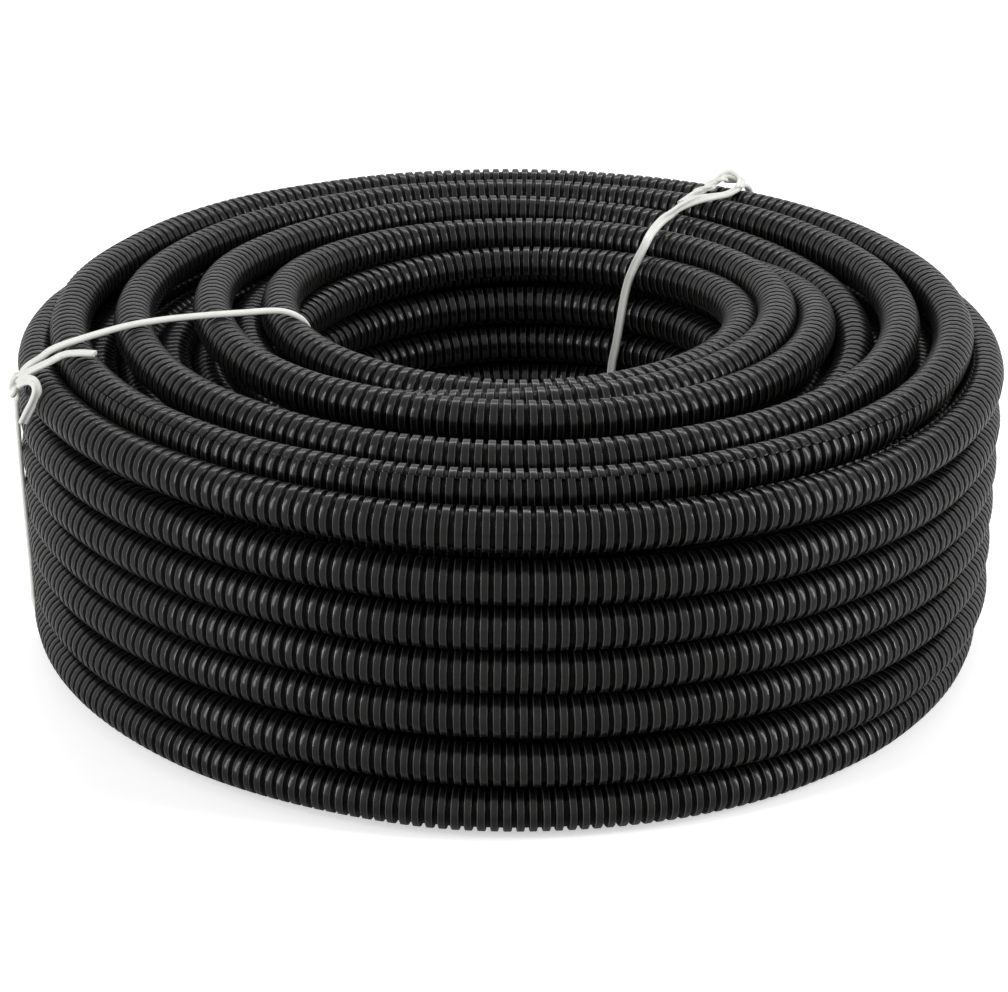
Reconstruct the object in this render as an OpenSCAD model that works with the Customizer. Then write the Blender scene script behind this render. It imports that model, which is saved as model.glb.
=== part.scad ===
// Coil of black corrugated split conduit, held by two white plastic-coated wire ties.
// Millimetres, +Z up. The origin is on the floor, at the axis of the coil. The front is -Y.
// The coil is one turned solid. Its turns lie in columns that nest in each other, and the
// last ones lie on top: each is a turned ring that sits off the axis and leans a little.

/* [Conduit] */
// Outside diameter of the conduit over its crests
conduit_od = 13; // [8:0.5:20]
// Columns of turns between the outside of the coil and its eye
columns = 8; // [4:2:12]
// Turns in each column
rows = 7; // [3:1:12]
// Height from one turn to the next in the outermost column
row_pitch = 15; // [14:0.5:20]
// Height from one turn to the next in the eye
eye_row_pitch = 14; // [13.5:0.5:18]
// Distance from one column to the next
column_pitch = 11.4; // [10:0.2:16]
// Radius of the outermost turn, to the middle of the conduit
outer_turn_r = 154.7; // [120:0.1:260]
// How much a turn flattens against the floor, and against the drum that it was wound on
squash = 0.1; // [0.05:0.05:0.5]

/* [Ties] */
// Diameter of one coated wire
wire_d = 1.5; // [1:0.1:2.5]
// Distance between the middles of the two wires of the ribbon
wire_gap = 1.7; // [1:0.1:3]
// Gap between a tie and the conduit
tie_clearance = 0.3; // [0.2:0.05:0.6]
// How far a tie lies inside the flats of the turns, at the floor and in the eye
tie_inset = 0.2; // [0.1:0.05:0.4]
// Bend radius of a tie where it turns into its seat
tie_bend_r = 3; // [2.5:0.25:4.5]
// Direction of the rear tie, round the coil from the front
rear_tie_angle = 145; // [100:1:170]
// Direction of the left tie, round the coil from the front
left_tie_angle = 285; // [200:1:330]

/* [Hidden] */
$fn = 96;

turn_r = conduit_od / 2;
low_z = turn_r - squash;
high_z = low_z + row_pitch / 2;
top_z = low_z + (rows - 1) * row_pitch;
eye_top_z = high_z + (rows - 1) * eye_row_pitch;
eye_turn_r = outer_turn_r - (columns - 1) * column_pitch;
inner_low_turn_r = eye_turn_r + column_pitch;
eye_r = eye_turn_r - turn_r + squash;

// The core's faces lie this far inside the middles of the outer turns.
core_inset = turn_r / 5;

// A turn that lies below the top: columns in from the outermost, height against top_z.
under_turns = [[0.7, -7.5], [1.7, -4.5], [2.75, -8], [3.8, -4.5], [4.85, -8], [5.9, -5]];

// A turn on top: columns in, how far it sits to the right and to the back, its height
// against top_z, and how much higher it is at the front and at the right.
top_turns = [
    [0.74, 0.4, 6.2, 5.2, 1.2, -0.6],
    [2.25, 2.4, 6.9, 6.6, 1.5, -0.6],
    [4.15, 7.8, 10.2, 6.2, 2.7, -4.5],
    [5.24, 7, 7, 1.1, 0, 4.5],
    [6.1, 6.1, 3.7, 7, 2.3, 0.6]];

// A tie's middle line runs this far from the middle of each turn that it lies on.
tie_reach = turn_r + tie_clearance + wire_d / 2;
// Below the coil and in its eye, a tie runs in a seat this deep and wide.
tie_depth = tie_inset + wire_d / 2;
seat_depth = tie_inset + wire_d + tie_clearance;
seat_w = wire_gap + wire_d + 2 * tie_clearance;

// Bends of a tie's loop, seen in a plane through the coil's axis: radius, height and
// bend radius, anticlockwise from the outer foot.
bend_inset = tie_reach - tie_bend_r;
foot_z = tie_depth + tie_bend_r;
eye_bend_r = eye_r + tie_depth + tie_bend_r;
outer_foot = [outer_turn_r + bend_inset, foot_z, tie_bend_r];
outer_top = [outer_turn_r, top_z, tie_reach];
eye_bottom = [eye_bend_r, high_z - bend_inset, tie_bend_r];
inner_foot = [inner_low_turn_r - bend_inset, foot_z, tie_bend_r];

// The top turns that each tie bends over, from the outside in.
rear_over = [0, 1, 4];
left_over = [0, 2, 4];

// Sideways shift of each tie: at its outer foot, the outermost turn, each turn that it bends
// over, the top and the bottom of the eye, and its inner foot.
rear_shift = [3, 3, 2, 1, -4, -5, 4, 3];
left_shift = [-30, 11, 8, -1, -1, 1, 0, 0];

// ---- The coil ----

function column_r(column) = outer_turn_r - column * column_pitch;
function column_z(column) = column % 2 == 0 ? low_z : high_z;

// One level turn of the conduit, with its flats where it meets the floor or the drum.
module turn(radius, height) {
    rotate_extrude(angle = 360)
        difference() {
            translate([radius, height])
                circle(r = turn_r);
            translate([0, -conduit_od])
                square([outer_turn_r + conduit_od, conduit_od]);
            square([eye_r, top_z + conduit_od]);
        }
}

// A turn on top, off the axis and leaning.
module leaning_turn(t) {
    radius = column_r(t[0]);
    translate([t[1], t[2], top_z + t[3]])
        rotate([-asin(t[4] / radius), -asin(t[5] / radius), 0])
            rotate_extrude(angle = 360)
                translate([radius, 0])
                    circle(r = turn_r);
}

// Where a leaning turn crosses a direction round the coil: radius and height.
function turn_at(t, angle) =
    let (radius = column_r(t[0]), toward = [sin(angle), -cos(angle)], off = [t[1], t[2]],
         side = off[0] * toward[1] - off[1] * toward[0],
         reach = off * toward + sqrt(radius * radius - side * side),
         spot = reach * toward - off)
    [reach, top_z + t[3] + (t[5] * spot[0] - t[4] * spot[1]) / radius];

// The hidden middle of the winding: a plain core just inside the middles of its outer turns.
module winding_core() {
    last = columns - 1;
    bottom = [for (column = [1 : last - 1]) [column_r(column), column_z(column) + core_inset]];
    top = [for (i = [len(under_turns) - 1 : -1 : 0])
        [column_r(under_turns[i][0]), top_z + under_turns[i][1] - core_inset]];
    outside = outer_turn_r - core_inset;
    inside = eye_turn_r + core_inset;
    rotate_extrude(angle = 360)
        polygon(concat([[outside, low_z + core_inset]], bottom,
            [[inside, high_z + core_inset], [inside, eye_top_z - core_inset]], top,
            [[outside, top_z - core_inset]]));
}

// Only the turns round the outside of the winding are drawn: the rest are inside its core.
module winding() {
    winding_core();
    for (row = [0 : rows - 1]) {
        turn(outer_turn_r, low_z + row * row_pitch);
        turn(eye_turn_r, high_z + row * eye_row_pitch);
    }
    for (column = [1 : columns - 2])
        turn(column_r(column), column_z(column));
    for (t = under_turns)
        turn(column_r(t[0]), top_z + t[1]);
    for (t = top_turns)
        leaning_turn(t);
}

// Bends of a tie's loop, with the turns that it bends over, in its direction.
function loop_bends(angle, over) =
    let (tops = [for (i = over) let (at = turn_at(top_turns[i], angle)) [at[0], at[1], tie_reach]],
         lip = tops[len(tops) - 1])
    concat([outer_foot, outer_top], tops,
        [[eye_bend_r, max(eye_top_z, lip[1] - turn_r) + bend_inset, tie_bend_r],
         eye_bottom, inner_foot]);

// The turns give a little where a tie passes below them.
module floor_seat(shift) {
    outer = [outer_foot[0], shift[0]];
    inner = [inner_foot[0], shift[len(shift) - 1]];
    run = outer - inner;
    translate([inner[0], inner[1], 0])
        rotate([0, 0, atan2(run[1], run[0])])
            translate([-conduit_od, -seat_w / 2, -1])
                cube([norm(run) + 2 * conduit_od, seat_w, 1 + seat_depth]);
}

// They give in the same way where it passes them in the eye.
module eye_seat(bends, shift) {
    n = len(shift);
    height = bends[n - 3][1] - eye_bottom[1];
    sideways = shift[n - 2] - shift[n - 3];
    run = norm([height, sideways]);
    translate([0, shift[n - 3], bends[n - 3][1]])
        rotate([atan2(sideways, height), 0, 0])
            translate([0, -seat_w / 2, -run - conduit_od])
                cube([eye_r + seat_depth, seat_w, run + 2 * conduit_od]);
}

module tie_seats(angle, over, shift) {
    rotate([0, 0, angle - 90]) {
        floor_seat(shift);
        eye_seat(loop_bends(angle, over), shift);
    }
}

module conduit() {
    color("#26272a")
        difference() {
            winding();
            tie_seats(rear_tie_angle, rear_over, rear_shift);
            tie_seats(left_tie_angle, left_over, left_shift);
        }
}

// ---- The ties ----

function unit(v) = v / norm(v);

// Outline of the flat twin-wire ribbon: width first, thickness second.
function ribbon() = let (r = wire_d / 2, half = wire_gap / 2) concat(
    [for (a = [-120 : 40 : 120]) [half + r * cos(a), r * sin(a)]],
    [for (a = [60 : 40 : 300]) [-half + r * cos(a), r * sin(a)]]);

// One ring of the sweep, with the ribbon's width turned as near as can be to across.
function ring(at, along, across, twist) =
    let (w = unit(across - along * (across * along)), t = cross(along, w))
    [for (p = ribbon()) let (a = p[0] * cos(twist) - p[1] * sin(twist),
                             b = p[0] * sin(twist) + p[1] * cos(twist)) at + a * w + b * t];

module sweep_rings(rings, closed) {
    n = len(rings);
    m = len(rings[0]);
    sides = [for (i = [0 : n - (closed ? 1 : 2)], j = [0 : m - 1])
        let (a = i * m + j, b = i * m + (j + 1) % m,
             c = ((i + 1) % n) * m + (j + 1) % m, d = ((i + 1) % n) * m + j)
        each [[a, c, b], [a, d, c]]];
    caps = closed ? [] : [[for (j = [0 : m - 1]) j], [for (j = [m - 1 : -1 : 0]) (n - 1) * m + j]];
    polyhedron(points = [for (r = rings) each r], faces = concat(sides, caps), convexity = 6);
}

// Direction in which the straight run from bend a to bend b faces outward.
function run_faces(a, b) = let (d = [b[0] - a[0], b[1] - a[1]])
    atan2(d[1], d[0]) - acos((a[2] - b[2]) / norm(d));

function bend_points(bends, i, shift) =
    let (n = len(bends), bend = bends[i],
         from = run_faces(bends[(i + n - 1) % n], bend),
         to_raw = run_faces(bend, bends[(i + 1) % n]),
         to = to_raw < from ? to_raw + 360 : to_raw,
         steps = max(2, ceil((to - from) / 15)))
    [for (k = [0 : steps]) let (a = from + (to - from) * k / steps)
        [bend[0] + bend[2] * cos(a), shift[i], bend[1] + bend[2] * sin(a)]];

module tie_loop(bends, shift) {
    path = [for (i = [0 : len(bends) - 1]) each bend_points(bends, i, shift)];
    n = len(path);
    sweep_rings([for (i = [0 : n - 1])
        ring(path[i], unit(path[(i + 1) % n] - path[(i + n - 1) % n]), [0, 1, 0], 0)], true);
}

function bezier(p, t) = p[0] * pow(1 - t, 3) + p[1] * 3 * t * pow(1 - t, 2)
    + p[2] * 3 * t * t * (1 - t) + p[3] * pow(t, 3);

// A free end of a tie along a curve of four control points, twisted as it goes.
module tie_end(controls, twist, steps = 14) {
    path = [for (k = [0 : steps]) bezier(controls, k / steps)];
    sweep_rings([for (k = [0 : steps])
        ring(path[k], unit(path[min(k + 1, steps)] - path[max(k - 1, 0)]), [0, 1, 0.2],
            twist * k / steps)], false);
}

module tie_rear() {
    color("#e9eae4")
        rotate([0, 0, rear_tie_angle - 90]) {
            tie_loop(loop_bends(rear_tie_angle, rear_over), rear_shift);
            knot = [outer_turn_r + 2, rear_shift[1], top_z + tie_reach - 1];
            tie_end([knot, knot + [3, -1, 9], knot + [-6, -4, 14], knot + [-26, -8, 13]], 540);
        }
}

module tie_left() {
    color("#e9eae4")
        rotate([0, 0, left_tie_angle - 90]) {
            tie_loop(loop_bends(left_tie_angle, left_over), left_shift);
            knot = [outer_turn_r + tie_reach, left_shift[1], top_z + 2];
            tie_end([knot, knot + [6, 2, 6], knot + [0, 10, 14], knot + [-22, 12, 14.5]], 90);
            tie_end([knot, knot + [4, 3, 5], knot + [4, 8, -2], knot + [1.5, 6, -18]], 60);
        }
}

conduit();
tie_rear();
tie_left();
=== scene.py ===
import math

import bmesh
import bpy
from mathutils import Matrix, Vector, noise


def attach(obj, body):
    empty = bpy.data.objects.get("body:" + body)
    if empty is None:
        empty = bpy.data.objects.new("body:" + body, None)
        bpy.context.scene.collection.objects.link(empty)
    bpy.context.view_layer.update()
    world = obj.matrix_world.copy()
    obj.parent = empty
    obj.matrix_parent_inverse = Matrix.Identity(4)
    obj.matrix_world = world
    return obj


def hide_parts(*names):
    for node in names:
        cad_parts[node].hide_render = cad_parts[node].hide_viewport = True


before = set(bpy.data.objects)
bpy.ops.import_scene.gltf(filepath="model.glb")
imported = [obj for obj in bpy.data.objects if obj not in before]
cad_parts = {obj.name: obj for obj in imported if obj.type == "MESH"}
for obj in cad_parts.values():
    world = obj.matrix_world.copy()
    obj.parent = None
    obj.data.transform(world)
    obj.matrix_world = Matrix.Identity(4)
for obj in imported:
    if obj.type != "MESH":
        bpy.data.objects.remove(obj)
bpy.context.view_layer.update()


# ---- Black polyethylene ----
# The conduit is blown from black polyethylene between the two halves of a chain of moulds.
# It comes out half matt, with a parting line down each side, and its ribs polish a little
# where they have rubbed on each other in the roll. Its colour also carries painted light: a
# painted highlight on the ribs' shoulders and painted shade in the grooves.


class Wire:
    """One socket of a node tree. Arithmetic on wires adds Math nodes to the tree."""

    def __init__(self, tree, socket):
        self.tree = tree
        self.socket = socket

    def node(self, kind, settings=None, sockets=None, out=0):
        made = self.tree.nodes.new(kind)
        for name, value in (settings or {}).items():
            setattr(made, name, value)
        for name, value in (sockets or {}).items():
            if isinstance(name, int):
                socket = made.inputs[name]
            else:
                socket = [s for s in made.inputs if s.enabled and s.name == name][0]
            if isinstance(value, Wire):
                self.tree.links.new(value.socket, socket)
            else:
                socket.default_value = value
        outputs = [s for s in made.outputs if s.enabled]
        return Wire(self.tree, outputs[out] if isinstance(out, int) else made.outputs[out])

    def beside(self, name):
        """Another output of the node that this wire comes from."""
        return Wire(self.tree, self.socket.node.outputs[name])

    def math(self, operation, *others):
        return self.node("ShaderNodeMath", {"operation": operation},
                         dict(enumerate((self,) + others)))

    def __add__(self, other):
        return self.math("ADD", other)

    def __radd__(self, other):
        return self.math("ADD", other)

    def __sub__(self, other):
        return self.math("SUBTRACT", other)

    def __rsub__(self, other):
        return self.node("ShaderNodeMath", {"operation": "SUBTRACT"}, {0: other, 1: self})

    def __mul__(self, other):
        return self.math("MULTIPLY", other)

    def __rmul__(self, other):
        return self.math("MULTIPLY", other)

    def __truediv__(self, other):
        return self.math("DIVIDE", other)

    def __rtruediv__(self, other):
        return self.node("ShaderNodeMath", {"operation": "DIVIDE"}, {0: other, 1: self})


def new_material(name):
    """A material with its Principled shader, and a wire to start its tree from."""
    material = bpy.data.materials.new(name)
    material.use_nodes = True
    tree = material.node_tree
    shader = tree.nodes["Principled BSDF"]
    place = tree.nodes.new("ShaderNodeTexCoord")
    return material, shader, Wire(tree, place.outputs["Object"])


polyethylene, shader, place = new_material("black polyethylene")
crest = place.node("ShaderNodeAttribute", {"attribute_name": "crest"}, out="Fac")
ribs_laid = place.node("ShaderNodeAttribute", {"attribute_name": "ribs"}, out="Fac")
around = place.node("ShaderNodeAttribute", {"attribute_name": "around"}, out="Fac")

# Both shoulders of a rib, which catch the light. Their colour is painted paler than the flat
# between them as a painted highlight, more so where the wear noise is high.
in_rib = ribs_laid.math("FRACT")
shoulder_highlight_and_gloss = ((1 - (in_rib - 0.4).math("ABSOLUTE") / 0.04).math("MAXIMUM", 0)
             + (1 - (in_rib - 0.89).math("ABSOLUTE") / 0.03).math("MAXIMUM", 0) * 0.6)

# The flats are scuffed in patches, and the grooves stay dull and are painted near black as
# painted shade, darker from the crest down to the groove floor.
blotch = place.node("ShaderNodeTexNoise", {}, {"Vector": place, "Scale": 38, "Detail": 3})
grain = place.node("ShaderNodeTexNoise", {}, {"Vector": place, "Scale": 1500, "Detail": 2})
scuff = place.node("ShaderNodeTexNoise", {}, {"Vector": place, "Scale": 420, "Detail": 4,
                                              "Roughness": 0.7})
worn = scuff.node("ShaderNodeMapRange", {}, {"Value": scuff, "From Min": 0.56, "From Max": 0.78})
# Painted shade: the colour darkens from the crest down to the groove floor; the scuffs lift it.
groove_shade_and_scuffs = crest * (0.3 + blotch * 0.3 + worn * 0.5)
colour = place.node("ShaderNodeMix", {"data_type": "RGBA"},
                    {"Factor": groove_shade_and_scuffs, "A": (0.0006, 0.0006, 0.0007, 1),
                     "B": (0.0085, 0.0083, 0.0078, 1)}, out="Result")
# Painted highlight: the shoulders are painted pale, partly varied by the wear noise.
colour = place.node("ShaderNodeMix", {"data_type": "RGBA"},
                    {"Factor": shoulder_highlight_and_gloss * (0.5 + worn * 0.5), "A": colour,
                     "B": (0.13, 0.128, 0.122, 1)}, out="Result")
roughness = 0.3 + blotch * 0.14 - worn * 0.08

# The moulds' parting lines run along the conduit, on either side.
seam_half_width = 0.006
seams = ((around - 0.27).math("ABSOLUTE").math("LESS_THAN", seam_half_width)
         + (around - 0.77).math("ABSOLUTE").math("LESS_THAN", seam_half_width))
bumps = place.node("ShaderNodeBump", {}, {"Strength": 0.35, "Distance": 0.0001,
                                          "Height": grain + seams * crest * 1.5})
tree = polyethylene.node_tree
tree.links.new(colour.socket, shader.inputs["Base Color"])
tree.links.new(roughness.socket, shader.inputs["Roughness"])
tree.links.new(bumps.socket, shader.inputs["Normal"])
tree.links.new((crest * crest * 0.38 + shoulder_highlight_and_gloss * 0.5).socket, shader.inputs["Coat Weight"])
shader.inputs["Specular IOR Level"].default_value = 0.06
shader.inputs["Coat Roughness"].default_value = 0.2


# ---- The turns ----
# One length of 3/8 in conduit, 13 mm over its crests, with a rib every 3.7 mm. It is slit
# along its whole length, so that wires can be pressed in, and the two lips of the slit slip
# past each other where the conduit bends. A turn is laid from a few points: degrees round
# the coil from the front, radius and height in millimetres.
conduit_d = 13.0
pitch = 3.7
groove_depth = 1.15

# Rings of one rib: place along the pitch, height from the groove's floor to the crest, and
# how many degrees the surface leans along the conduit there.
shown_rib = ((0.0, 0.0, 30), (0.29, 0.0, -30), (0.335, 0.76, -64), (0.395, 1.0, -9),
             (0.895, 1.0, 9), (0.955, 0.76, 64))
hidden_rib = ((0.0, 0.0, 30), (0.29, 0.0, -30), (0.36, 1.0, -25), (0.93, 1.0, 25))


def ribbed_tree(name, stations):
    """A tree that lays ribs along a path. The path's tilt is where the slit faces."""
    tree = bpy.data.node_groups.new(name, "GeometryNodeTree")
    face = tree.interface
    face.new_socket("Path", in_out="INPUT", socket_type="NodeSocketGeometry")
    for label, kind, value in (
            ("Pitch", "NodeSocketFloat", pitch / 1000),
            ("Crest Radius", "NodeSocketFloat", conduit_d / 2000),
            ("Groove Depth", "NodeSocketFloat", groove_depth / 1000),
            ("Sides", "NodeSocketInt", 16),
            ("Slit", "NodeSocketFloat", 0.0003),
            ("Lip", "NodeSocketFloat", 0.0003),
            ("Slip", "NodeSocketFloat", 0.0016),
            ("Seed", "NodeSocketFloat", 1.0),
            ("Material", "NodeSocketMaterial", None)):
        socket = face.new_socket(label, in_out="INPUT", socket_type=kind)
        if value is not None:
            socket.default_value = value
    face.new_socket("Conduit", in_out="OUTPUT", socket_type="NodeSocketGeometry")
    given = tree.nodes.new("NodeGroupInput")
    size = {s.name: Wire(tree, s) for s in given.outputs if s.name}
    rings_a_rib = len(stations)

    # The path, cut into rings at each rib's own stations.
    path = size["Path"]
    path = path.node("GeometryNodeSetCurveNormal", {"mode": "Z_UP"}, {"Curve": path})
    length = path.node("GeometryNodeCurveLength", {}, {"Curve": path})
    ribs = (length / size["Pitch"]).math("ROUND")
    closed = path.node("GeometryNodeInputSplineCyclic")
    rings = path.node("GeometryNodeResampleCurve", {"mode": "COUNT"},
                      {"Curve": path, "Count": ribs * rings_a_rib + 1 - closed})
    index = path.node("GeometryNodeInputIndex")
    rib = (index / rings_a_rib).math("FLOOR")
    part = index - rib * rings_a_rib

    def by_part(values):
        switch = tree.nodes.new("GeometryNodeIndexSwitch")
        switch.data_type = "FLOAT"
        while len(switch.index_switch_items) < len(values):
            switch.index_switch_items.new()
        tree.links.new(part.socket, switch.inputs["Index"])
        for i, value in enumerate(values):
            switch.inputs[i + 1].default_value = value
        return Wire(tree, switch.outputs[0])

    height = by_part([s[1] for s in stations])
    place = rib + by_part([s[0] for s in stations])
    along = place * (length / ribs)
    there = path.node("GeometryNodeSampleCurve", {"mode": "LENGTH"},
                      {"Curves": path, "Length": along}, out="Position")
    rings = rings.node("GeometryNodeSetPosition", {}, {"Geometry": rings, "Position": there})

    def kept(geometry, kind, field):
        """The geometry with a field kept on it, and the wire of the kept field."""
        capture = tree.nodes.new("GeometryNodeCaptureAttribute")
        capture.capture_items.new(kind, "kept")
        tree.links.new(geometry.socket, capture.inputs[0])
        tree.links.new(field.socket, capture.inputs[1])
        return Wire(tree, capture.outputs[0]), Wire(tree, capture.outputs[1])

    rings, centre = kept(rings, "VECTOR", there)
    rings, tangent = kept(rings, "VECTOR", there.beside("Tangent"))
    rings, height_kept = kept(rings, "FLOAT", height)
    rings, lean = kept(rings, "FLOAT", by_part([math.radians(s[2]) for s in stations]))
    rings, laid_kept = kept(rings, "FLOAT", place)

    # The section: round, from one lip of the slit to the other, each lip turned in.
    line = path.node("GeometryNodeMeshLine", {}, {"Count": size["Sides"] + 3})
    line = line.node("GeometryNodeMeshToCurve", {}, {"Mesh": line})
    corner = line.node("GeometryNodeInputIndex")
    last = size["Sides"] + 2
    u = ((corner - 1) / size["Sides"]).math("MAXIMUM", 0).math("MINIMUM", 1)
    gap = size["Slit"] / size["Crest Radius"]
    angle = gap / 2 + u * (2 * math.pi - gap)
    turned_in = corner.math("LESS_THAN", 0.5) + corner.math("GREATER_THAN", last - 0.5)
    reach = 1 - turned_in * 0.14
    spot = line.node("ShaderNodeCombineXYZ", {}, {"X": reach * angle.math("COSINE"),
                                                  "Y": reach * angle.math("SINE")})
    line = line.node("GeometryNodeSetPosition", {}, {"Geometry": line, "Position": spot})
    line, around = kept(line, "FLOAT", u)

    tube = rings.node("GeometryNodeCurveToMesh", {}, {
        "Curve": rings, "Profile Curve": line,
        "Scale": size["Crest Radius"] - size["Groove Depth"] * (1 - height)})

    # One lip lies a little proud, and the two slip past each other along the conduit.
    drift = centre.node("ShaderNodeTexNoise", {"noise_dimensions": "4D"},
                        {"Vector": centre, "W": size["Seed"], "Scale": 9, "Detail": 0})
    slip = (drift - 0.32) * 2.4 * size["Slip"] * (around - 0.5)
    spoke = centre.node("ShaderNodeVectorMath", {"operation": "SUBTRACT"},
                        {0: centre.node("GeometryNodeInputPosition"), 1: centre})
    spoke = spoke.node("ShaderNodeVectorMath", {"operation": "NORMALIZE"}, {0: spoke})
    proud = ((around - 0.86) / 0.14).math("MAXIMUM", 0) * size["Lip"]
    shift = spoke.node("ShaderNodeVectorMath", {"operation": "ADD"}, {
        0: tangent.node("ShaderNodeVectorMath", {"operation": "SCALE"},
                        {"Vector": tangent, "Scale": slip}),
        1: spoke.node("ShaderNodeVectorMath", {"operation": "SCALE"},
                      {"Vector": spoke, "Scale": proud})})

    # Each ring faces the way its lean says, which keeps the flats flat and the shoulders crisp.
    facing = spoke.node("ShaderNodeVectorMath", {"operation": "ADD"}, {
        0: spoke.node("ShaderNodeVectorMath", {"operation": "SCALE"},
                      {"Vector": spoke, "Scale": lean.math("COSINE")}),
        1: tangent.node("ShaderNodeVectorMath", {"operation": "SCALE"},
                        {"Vector": tangent, "Scale": lean.math("SINE")})})
    tube = tube.node("GeometryNodeSetShadeSmooth", {}, {"Geometry": tube})
    tube = tube.node("GeometryNodeSetMeshNormal", {"mode": "FREE", "domain": "POINT"},
                     {"Mesh": tube, "Custom Normal": facing})
    tube = tube.node("GeometryNodeSetPosition", {}, {"Geometry": tube, "Offset": shift})
    for label, field in (("crest", height_kept), ("around", around), ("ribs", laid_kept)):
        tube = tube.node("GeometryNodeStoreNamedAttribute", {},
                         {"Geometry": tube, "Name": label, "Value": field})
    tube = tube.node("GeometryNodeRealizeInstances", {}, {"Geometry": tube})
    tube = tube.node("GeometryNodeSetMaterial", {},
                     {"Geometry": tube, "Material": size["Material"]})
    done = tree.nodes.new("NodeGroupOutput")
    tree.links.new(tube.socket, done.inputs[0])
    return tree


shown_tree = ribbed_tree("ribbed conduit", shown_rib)
hidden_tree = ribbed_tree("ribbed conduit, hidden turns", hidden_rib)


def laid(keys, closed=False, step=3.0, wander=0.35):
    """Points of a smooth path through keys of degrees, radius and height, in metres.

    The path wanders a little, by up to wander millimetres, as conduit laid by hand does.
    """
    if closed:
        keys = [(keys[-1][0] - 360,) + keys[-1][1:]] + list(keys)
        keys += [(keys[1][0] + 360,) + keys[1][1:], (keys[2][0] + 360,) + keys[2][1:]]
    else:
        first = tuple(2 * a - b for a, b in zip(keys[0], keys[1]))
        last = tuple(2 * a - b for a, b in zip(keys[-1], keys[-2]))
        keys = [first] + list(keys) + [last]
    points = []
    for before, here, there, after in zip(keys, keys[1:], keys[2:], keys[3:]):
        span = there[0] - here[0]
        count = max(1, round(span / step))
        for i in range(count):
            t = i / count
            values = []
            for n in (1, 2):
                slope_a = (there[n] - before[n]) / (there[0] - before[0]) * span
                slope_b = (after[n] - here[n]) / (after[0] - here[0]) * span
                values.append((2 * t**3 - 3 * t**2 + 1) * here[n] + (t**3 - 2 * t**2 + t) * slope_a
                              + (3 * t**2 - 2 * t**3) * there[n] + (t**3 - t**2) * slope_b)
            points.append((math.radians(here[0] + span * t), values[0], values[1]))
    if not closed:
        points.append((math.radians(keys[-2][0]), keys[-2][1], keys[-2][2]))
    path = []
    for a, r, z in points:
        spot = Vector((r * math.sin(a), -r * math.cos(a), z))
        stray = noise.noise(spot / 45) * wander
        lift = noise.noise(spot / 38 + Vector((7, 3, 11))) * wander
        path.append(Vector(((r + stray) * math.sin(a), -(r + stray) * math.cos(a), z + lift)) / 1000)
    return path


slit_roll = 40


def wind(name, runs, tree=shown_tree, sides=16, slit_faces=200.0, slip=1.6, seed=1.0):
    """Winds runs of conduit into one piece. A run is its keys, and whether it closes.

    The slit faces out of the roll at 0 degrees, down at 90, into it at 180 and up at 270, and
    it rolls to either side of that along the way.
    """
    pieces = []
    for run, closed in runs:
        curve = bpy.data.curves.new(name, "CURVE")
        curve.dimensions = "3D"
        points = laid(run, closed)
        spline = curve.splines.new("POLY")
        spline.points.add(len(points) - 1)
        spline.use_cyclic_u = closed
        for point, spot in zip(spline.points, points):
            point.co = (*spot, 1)
            roll = slit_roll * noise.noise(spot * 4 + Vector((seed, 0, 0)))
            point.tilt = math.radians(slit_faces + roll)
        holder = bpy.data.objects.new(name, curve)
        bpy.context.scene.collection.objects.link(holder)
        ribs = holder.modifiers.new("ribs", "NODES")
        ribs.node_group = tree
        values = {"Sides": sides, "Slip": slip / 1000, "Seed": seed, "Material": polyethylene}
        for item in tree.interface.items_tree:
            if item.in_out == "INPUT" and item.name in values:
                ribs[item.identifier] = values[item.name]
        bpy.context.view_layer.update()
        depsgraph = bpy.context.evaluated_depsgraph_get()
        mesh = bpy.data.meshes.new_from_object(holder.evaluated_get(depsgraph),
                                               depsgraph=depsgraph)
        bpy.data.objects.remove(holder)
        pieces.append(bpy.data.objects.new(name, mesh))
        bpy.context.scene.collection.objects.link(pieces[-1])
    piece = pieces[0]
    if len(pieces) > 1:
        with bpy.context.temp_override(active_object=piece, selected_editable_objects=pieces):
            bpy.ops.object.join()
    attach(piece, "root")
    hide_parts("conduit")
    return piece


# ---- The outer wall ----
# The outermost column of turns, wound as one spiral that goes down by a turn each time
# round, with most of its drop at the left. It starts with a plain cut end at the back, below
# the outer top turn. Only the ties hold it.
wall_front = (96.7, 80.5, 66.2, 52.4, 38.2, 22.3, 7.3)
usual_drop = 14.6
wall_drop = ((45, -2.6, 154.7), (90, -3.2, 155.0), (135, -5.0, 154.7), (180, -8.0, 154.7),
             (225, -11.5, 155.0), (270, -12.8, 155.3), (315, -12.6, 154.9))
wall_keys = [(-120, 151.0, 91.0), (-100, 153.5, 96.0), (-45, 154.9, 98.8)]
for number, height in enumerate(wall_front):
    below = wall_front[number + 1] if number + 1 < len(wall_front) else height - usual_drop
    wall_keys.append((360 * number, 154.7, height))
    for degrees, drop, radius in wall_drop:
        share = (height - below) / usual_drop
        wall_keys.append((360 * number + degrees, radius,
                          max(height + drop * share, conduit_d / 2)))
# The last turn runs on past the front, and its end goes in beside the next column.
foot = 360 * (len(wall_front) - 1)
wall_keys = wall_keys[:52] + [(foot + 45, 154.0, 6.6), (foot + 100, 150.0, 7.5),
                              (foot + 150, 143.0, 9.0)]

# Four lengths that meet at the back, each with the way its slit faces.
outer_runs = ((wall_keys[0:16], -118), (wall_keys[15:32], 175), (wall_keys[31:48], 200),
              (wall_keys[47:], 190))
for number, (run, slit_faces) in enumerate(outer_runs):
    wind("outer_turns_%d" % (number + 1), [(run, False)], slit_faces=slit_faces,
         seed=2.0 + number)


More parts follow.
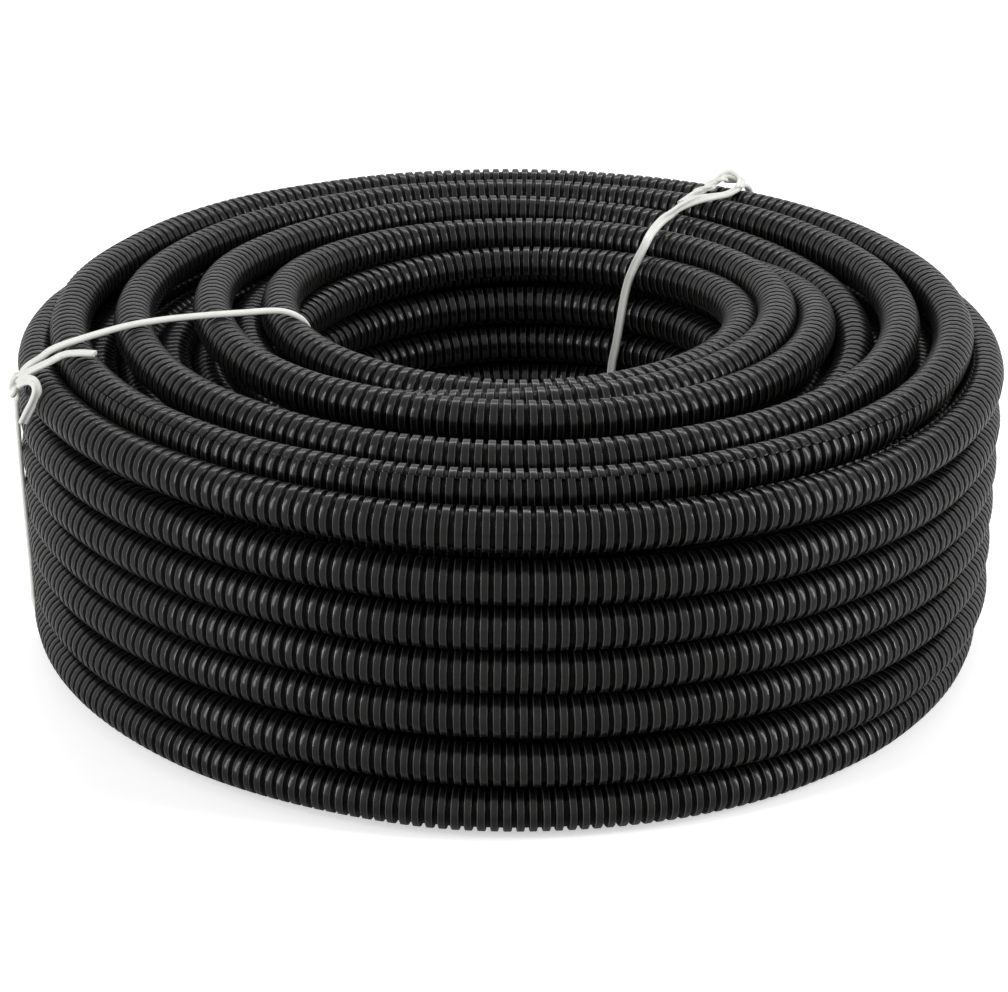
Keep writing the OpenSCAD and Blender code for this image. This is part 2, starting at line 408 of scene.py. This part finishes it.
# ---- The top ----
# The turns that close the roll on top lie loose, with gaps between them at the left and the
# right, and stand highest at the left and front. Two of them go once round, and the third
# winds on inward and dives below its neighbour.
wind("top_turn_outer", [([
    (0, 141.7, 102.7), (45, 143.5, 102.7), (90, 144.9, 102.7), (135, 149.0, 101.6),
    (180, 154.2, 100.4), (225, 149.0, 102.2), (270, 144.2, 104.0), (315, 142.4, 104.0)], True)],
     slit_faces=-38, seed=11)
wind("top_turn_middle", [([
    (0, 124.8, 104.0), (45, 126.0, 104.0), (90, 128.2, 104.0), (135, 133.2, 102.3),
    (180, 138.6, 100.9), (225, 131.0, 102.7), (270, 123.5, 105.3), (315, 122.8, 105.3)], True)],
     slit_faces=150, seed=12)
wind("top_turns_inner", [([
    (10, 112.0, 88.0), (40, 112.5, 92.0), (90, 113.6, 97.0), (135, 115.8, 99.0),
    (180, 119.3, 100.5),
    (225, 109.5, 102.7), (270, 98.0, 106.6), (315, 96.8, 106.6), (360, 98.8, 106.0),
    (405, 99.5, 104.0), (450, 100.6, 102.7), (490, 102.5, 96.0), (520, 103.5, 92.0)], False)],
     slit_faces=70, seed=13)


# ---- The eye ----
# The innermost turns: the run that comes down from the top into the eye, and the column below
# it, which the ties press against. The foot of the column is deep in the eye, so its ribs are
# plainer.
wind("eye_turns_upper", [([
    (-140, 104.5, 91.0), (-90, 86.5, 95.0), (-45, 84.5, 98.0), (0, 85.8, 104.6),
    (45, 86.5, 105.3), (90, 87.9, 105.3), (135, 91.0, 102.7), (180, 93.2, 100.2),
    (225, 87.5, 101.4), (270, 75.6, 104.0), (315, 72.5, 104.0), (360, 73.5, 102.7),
    (405, 74.8, 102.7), (450, 76.4, 101.4), (495, 77.2, 97.5), (540, 78.9, 94.0),
    (585, 77.0, 92.0), (630, 75.5, 90.5), (675, 75.5, 89.0), (720, 75.0, 87.5)], False)],
     slit_faces=160, seed=14)
eye_r = 75.0
eye_top = 87.5
quarter_drop = 3.6
eye_keys = [(90 * n, eye_r, eye_top - quarter_drop * n) for n in range(23)]
wind("eye_turns_lower", [(eye_keys[0:12], False)], slit_faces=120, seed=15)
wind("eye_turns_foot", [(eye_keys[11:], False)], tree=hidden_tree, sides=10,
     slit_faces=120, seed=16)


# ---- The turns below the top ----
# The layer that the top turns rest on. It shows only in the gaps between them, and sinks a
# little towards the back.
under_top = [([(90 * n, radius, height - (0, 1.2, 2.5, 1.2)[n]) for n in range(4)], True)
             for radius, height in ((143.5, 88.0), (135.3, 91.9), (123.4, 88.4), (111.4, 91.9),
                                    (99.4, 88.4), (87.4, 91.4))]
wind("turns_below_top", under_top, tree=hidden_tree, sides=10, slit_faces=200, seed=17)


# ---- The underside ----
# The turns that the roll stands on, and those that nest between them. They carry the roll's
# weight and are seen only from below.
under = [([(90 * n, radius, height) for n in range(4)], True)
         for radius, height in ((143.3, 13.9), (131.9, 6.5), (120.5, 13.9), (109.1, 6.5),
                                (97.7, 13.9), (86.3, 6.5))]
wind("turns_below", under, tree=hidden_tree, sides=10, slit_faces=90, seed=18)


# ---- The hidden middle ----
# The real roll is conduit all the way through. Nobody sees the turns inside it, so one plain
# black ring fills their room behind the gaps.
core_outline = ((152, 8), (152, 86), (140, 84), (84, 84), (78, 80), (78, 10), (86, 8))
core_mesh = bmesh.new()
core_steps = 96
core_rings = []
for i in range(core_steps):
    a = 2 * math.pi * i / core_steps
    core_rings.append([core_mesh.verts.new((r * math.sin(a) / 1000, -r * math.cos(a) / 1000,
                                            z / 1000)) for r, z in core_outline])
for i in range(core_steps):
    one, two = core_rings[i], core_rings[(i + 1) % core_steps]
    for j in range(len(core_outline)):
        k = (j + 1) % len(core_outline)
        core_mesh.faces.new((one[j], one[k], two[k], two[j]))
bmesh.ops.recalc_face_normals(core_mesh, faces=core_mesh.faces)
core_data = bpy.data.meshes.new("winding_core")
core_mesh.to_mesh(core_data)
core_mesh.free()
core_data.materials.append(polyethylene)
core = bpy.data.objects.new("winding_core", core_data)
bpy.context.scene.collection.objects.link(core)
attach(core, "root")
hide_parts("conduit")


# ---- The ties ----
# Two lengths of flat twin wire in soft white plastic, each passed once round the roll. Their
# ends are twisted together over the outer edge, and stand off it. A key of a tie is degrees
# round the coil, radius, height, and how far the flat has turned from lying across.
white_plastic, shader, place = new_material("white plastic")
mottle = place.node("ShaderNodeTexNoise", {}, {"Vector": place, "Scale": 260, "Detail": 3})
cream = place.node("ShaderNodeMix", {"data_type": "RGBA"},
                   {"Factor": mottle, "A": (0.8, 0.8, 0.76, 1), "B": (0.64, 0.65, 0.61, 1)},
                   out="Result")
creases = place.node("ShaderNodeBump", {}, {"Strength": 0.3, "Distance": 0.0002, "Height": mottle})
white_plastic.node_tree.links.new(cream.socket, shader.inputs["Base Color"])
white_plastic.node_tree.links.new(creases.socket, shader.inputs["Normal"])
shader.inputs["Roughness"].default_value = 0.38

# Two round wires side by side with a thin web between them, in millimetres.
tie_wire = 0.76
tie_half_gap = 0.86
tie_web = tie_wire * 0.42
tie_outline = ([(tie_half_gap + tie_wire * math.cos(math.radians(a)),
                 tie_wire * math.sin(math.radians(a))) for a in range(-120, 121, 30)]
               + [(0, tie_web)]
               + [(-tie_half_gap + tie_wire * math.cos(math.radians(a)),
                   tie_wire * math.sin(math.radians(a))) for a in range(60, 301, 30)]
               + [(0, -tie_web)])


def lay_ribbon(mesh, keys, closed, cuts=7):
    """Sweeps the tie's outline along a smooth line through the keys."""
    spots = [Vector((r * math.sin(math.radians(a)), -r * math.cos(math.radians(a)), z, twist))
             for a, r, z, twist in keys]
    if closed:
        spots = [spots[-1]] + spots + spots[:2]
    else:
        spots = [spots[0] * 2 - spots[1]] + spots + [spots[-1] * 2 - spots[-2]]
    line = []
    for before, here, there, after in zip(spots, spots[1:], spots[2:], spots[3:]):
        for i in range(cuts):
            t = i / cuts
            line.append(here + (there - before) * 0.5 * t
                        + (before * 2 - here * 5 + there * 4 - after) * 0.5 * t * t
                        + (after - there * 3 + here * 3 - before) * 0.5 * t**3)
    if not closed:
        line.append(spots[-2])
    count = len(line)
    rings = []
    for i in range(count):
        ahead = line[(i + 1) % count] if closed else line[min(i + 1, count - 1)]
        behind = line[i - 1] if closed else line[max(i - 1, 0)]
        at = line[i].to_3d()
        along = (ahead.to_3d() - behind.to_3d()).normalized()
        across = Vector((-at.y, at.x, 0)).normalized()
        across = (across - along * across.dot(along)).normalized()
        up = along.cross(across)
        turned = math.radians(line[i].w)
        wide = across * math.cos(turned) + up * math.sin(turned)
        thick = up * math.cos(turned) - across * math.sin(turned)
        rings.append([mesh.verts.new((at + wide * x + thick * y) / 1000)
                      for x, y in tie_outline])
    for i in range(count if closed else count - 1):
        one, two = rings[i], rings[(i + 1) % count]
        for j in range(len(one)):
            k = (j + 1) % len(one)
            mesh.faces.new((one[j], two[j], two[k], one[k]))
    if not closed:
        mesh.faces.new(rings[0])
        mesh.faces.new(list(reversed(rings[-1])))


def tie(name, strands):
    """Makes one tie of its strands. The first is its loop, and the others are its ends."""
    mesh = bmesh.new()
    for keys, closed in strands:
        lay_ribbon(mesh, keys, closed)
    bmesh.ops.recalc_face_normals(mesh, faces=mesh.faces)
    data = bpy.data.meshes.new(name)
    for face in mesh.faces:
        face.smooth = len(face.verts) == 4
    mesh.to_mesh(data)
    mesh.free()
    data.materials.append(white_plastic)
    piece = bpy.data.objects.new(name, data)
    bpy.context.scene.collection.objects.link(piece)
    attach(piece, "root")
    return piece


# The left tie: its loop, the short end cut square, the end that bends down, and the twist.
left = tie("tie_left_wire", [
    ([(290.3, 163.2, 102, 0), (290.3, 160.0, 106.5, 0), (290.3, 155.5, 109, 0),
      (289.4, 148.7, 111.3, 0), (286.7, 128.6, 112.8, 0), (285.8, 115.5, 113.3, 0),
      (286.6, 102.9, 114, 0), (287.2, 90.2, 114, 0), (286.3, 76.9, 112.8, 0),
      (287.7, 70.2, 110, 0), (287.1, 67.6, 105, 0), (283.4, 66.0, 99, 0),
      (282.0, 67.0, 80, 0), (281.0, 67.4, 40, 0), (281.0, 67.6, 12, 0), (281.0, 69.5, 3, 0),
      (281.0, 74.0, 0.9, 0), (280.5, 110.0, 0.9, 0), (280.0, 152.0, 0.9, 0),
      (279.0, 158.5, 2.6, 0), (277.0, 161.9, 8, 0), (276.5, 162.1, 20, 0),
      (280.0, 162.1, 60, 0), (285.0, 162.3, 88, 0), (289.0, 162.8, 97, 0)], True),
    ([(290.2, 164.4, 100.5, 40), (291.1, 164.0, 103.5, 20), (292.4, 159.5, 107.5, 0),
      (293.4, 154.8, 110.4, 0), (293.1, 149.5, 111.9, 0), (294.0, 145.0, 112.6, 0),
      (295.2, 141.0, 112.8, 0)], False),
    ([(290.6, 164.4, 100.0, 0), (292.0, 163.4, 103.5, 20), (293.4, 161.6, 105.8, 45),
      (294.7, 160.4, 106.0, 70), (295.7, 160.4, 104.3, 82), (295.5, 161.4, 101.0, 86),
      (294.4, 162.6, 96.5, 86), (292.9, 163.6, 91.5, 84)], False),
    ([(288.6, 162.6, 99.5, 0), (290.6, 164.8, 99.0, 110), (291.8, 165.4, 101.8, 220),
      (290.8, 163.4, 104.0, 330), (289.2, 162.6, 102.4, 430)], False)])
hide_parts("tie_left")

# The rear tie: its loop, and its two ends twisted together into an eyelet that lies back.
rear = tie("tie_rear_wire", [
    ([(147.7, 67.5, 60.5, 0), (146.1, 67.5, 71.9, 0), (145.2, 68.0, 80.1, 0),
      (144.4, 70.0, 92.0, 0), (142.6, 71.0, 100.2, 0), (140.5, 73.5, 108, 0),
      (142.0, 80.6, 111.0, 10), (144.6, 92.7, 111.4, 40), (145.5, 101.4, 111.4, 80),
      (146.8, 113.1, 110.8, 90), (146.9, 124.8, 110.2, 60), (145.7, 131.0, 110.2, 30),
      (144.9, 138.7, 109.6, 10), (145.3, 147.9, 109.0, 0), (146.0, 156.0, 108.4, 0),
      (146.0, 161.2, 105.0, 0), (146.0, 162.4, 97, 0), (146.0, 162.1, 60, 0),
      (146.0, 162.1, 20, 0), (146.0, 161.6, 7, 0), (146.0, 158.0, 2.6, 0),
      (146.0, 152.0, 0.9, 0), (147.0, 110.0, 0.9, 0), (147.5, 74.0, 0.9, 0),
      (147.7, 69.5, 3, 0), (147.7, 67.7, 12, 0), (147.7, 67.6, 36, 0)], True),
    ([(145.0, 148.0, 109.6, 0), (145.6, 153.0, 111.0, 20), (147.2, 156.8, 111.2, 60),
      (148.4, 156.0, 111.6, 100), (148.6, 150.6, 111.2, 160), (148.1, 144.7, 110.8, 260),
      (148.2, 138.5, 110.4, 360), (148.3, 131.6, 110.4, 450), (148.3, 125.9, 110.4, 520),
      (148.5, 119.4, 110.2, 560)], False),
    ([(146.6, 156.0, 109.6, 0), (148.0, 153.0, 110.6, 90), (147.6, 147.6, 111.8, 200),
      (148.6, 142.6, 110.8, 300), (147.8, 136.6, 111.2, 410), (148.7, 131.2, 110.4, 500)],
     False)])
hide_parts("tie_rear")


# ---- The studio ----
# A pale floor that runs out of sight, a narrow soft box on each side and one above the back.
# Both come out white: the floor is lifted a little to the camera, and the world to the camera
# and in reflections.
floor_r = 9
floor_drop = 0.0004
floor_lift = 0.5
floor_material, shader, place = new_material("studio floor")
shader.inputs["Base Color"].default_value = (0.82, 0.82, 0.82, 1)
shader.inputs["Roughness"].default_value = 0.9
seen = place.node("ShaderNodeLightPath", out="Is Camera Ray")
shader.inputs["Emission Color"].default_value = (1, 1, 1, 1)
floor_material.node_tree.links.new((seen * floor_lift).socket, shader.inputs["Emission Strength"])
floor_mesh = bmesh.new()
bmesh.ops.create_circle(floor_mesh, cap_ends=True, segments=64, radius=floor_r)
floor_data = bpy.data.meshes.new("studio_floor")
floor_mesh.to_mesh(floor_data)
floor_mesh.free()
floor_data.transform(Matrix.Translation((0, 0, -floor_drop)))
floor_data.materials.append(floor_material)
floor = bpy.data.objects.new("studio_floor", floor_data)
bpy.context.scene.collection.objects.link(floor)

world = bpy.data.worlds.new("studio")
world.use_nodes = True
bpy.context.scene.world = world
backdrop = world.node_tree.nodes["Background"]
backdrop.inputs["Color"].default_value = (1, 1, 1, 1)
start = Wire(world.node_tree, world.node_tree.nodes.new("ShaderNodeLightPath").outputs[0])
shown = start.math("MAXIMUM", start.beside("Is Glossy Ray"))
shown = shown.math("MAXIMUM", start.beside("Is Transmission Ray"))
world_level = 0.45
strength = world_level + shown * (1 - world_level)
world.node_tree.links.new(strength.socket, backdrop.inputs["Strength"])


def soft_box(name, place, target, width, height, watts):
    """A rectangular lamp that faces the target, with its sizes in metres."""
    lamp = bpy.data.lights.new(name, "AREA")
    lamp.shape = "RECTANGLE"
    lamp.size = width
    lamp.size_y = height
    lamp.energy = watts
    holder = bpy.data.objects.new(name, lamp)
    holder.location = place
    aim = Vector(target) - Vector(place)
    holder.rotation_euler = aim.to_track_quat("-Z", "Y").to_euler()
    bpy.context.scene.collection.objects.link(holder)


soft_box("soft_box_left", (-1.1, -0.7, 0.6), (0, 0, 0.05), 0.22, 1.2, 11)
soft_box("soft_box_right", (1.2, -0.4, 0.55), (0, 0, 0.05), 0.2, 1.1, 11)
soft_box("soft_box_back", (0.1, 0.9, 1.25), (0, 0, 0.05), 1.4, 0.2, 9)

lens = bpy.data.cameras.new("camera")
lens.sensor_width = 36
lens.lens = 92.61
lens.shift_x = -0.006
lens.shift_y = -0.0058
camera = bpy.data.objects.new("camera", lens)
camera.location = (0, -0.8065, 0.3969)
camera.rotation_euler = (math.radians(66.15), 0, 0)
bpy.context.scene.collection.objects.link(camera)
bpy.context.scene.camera = camera
bpy.context.scene.view_settings.view_transform = "Standard"
